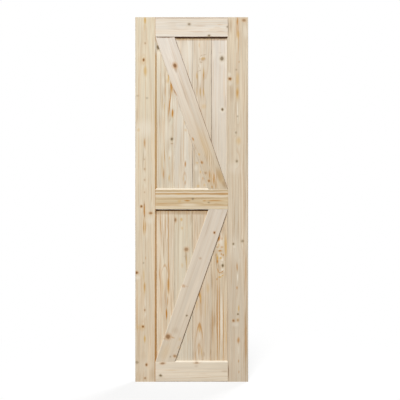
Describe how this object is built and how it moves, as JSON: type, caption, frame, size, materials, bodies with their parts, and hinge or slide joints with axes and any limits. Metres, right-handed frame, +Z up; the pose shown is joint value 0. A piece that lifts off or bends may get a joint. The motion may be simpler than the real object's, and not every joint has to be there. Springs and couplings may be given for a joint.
{
  "type": "sliding barn door slab",
  "caption": "Knotty pine barn door slab: stile and rail frame, plank panels, a slanting brace over each panel, and a groove in the foot for a floor guide.",
  "frame": {"origin": "centre of the foot of the slab, halfway through its thickness", "axes": "+Z up the slab, -Y out of its braced front, +X to the right of someone who faces the front"},
  "size_m": [0.6604, 0.035, 2.1336],
  "materials": {
    "frame_pine": "planed and sanded, unfinished",
    "plank_pine": "planed and sanded, unfinished",
    "brace_pine": "planed and sanded, unfinished",
    "dowel_beech": "turned",
    "screw_steel": "zinc plated"
  },
  "bodies": {
    "root": {"left_stile": "frame_pine", "right_stile": "frame_pine", "top_rail": "frame_pine", "middle_rail": "frame_pine", "bottom_rail": "frame_pine", "upper_plank_1": "plank_pine", "upper_plank_2": "plank_pine", "upper_plank_3": "plank_pine", "upper_plank_4": "plank_pine", "lower_plank_1": "plank_pine", "lower_plank_2": "plank_pine", "lower_plank_3": "plank_pine", "lower_plank_4": "plank_pine", "upper_brace": "brace_pine", "lower_brace": "brace_pine", "top_rail_dowels": "dowel_beech", "middle_rail_dowels": "dowel_beech", "bottom_rail_dowels": "dowel_beech", "upper_brace_screws": "screw_steel", "lower_brace_screws": "screw_steel"}
  },
  "joints": []
}
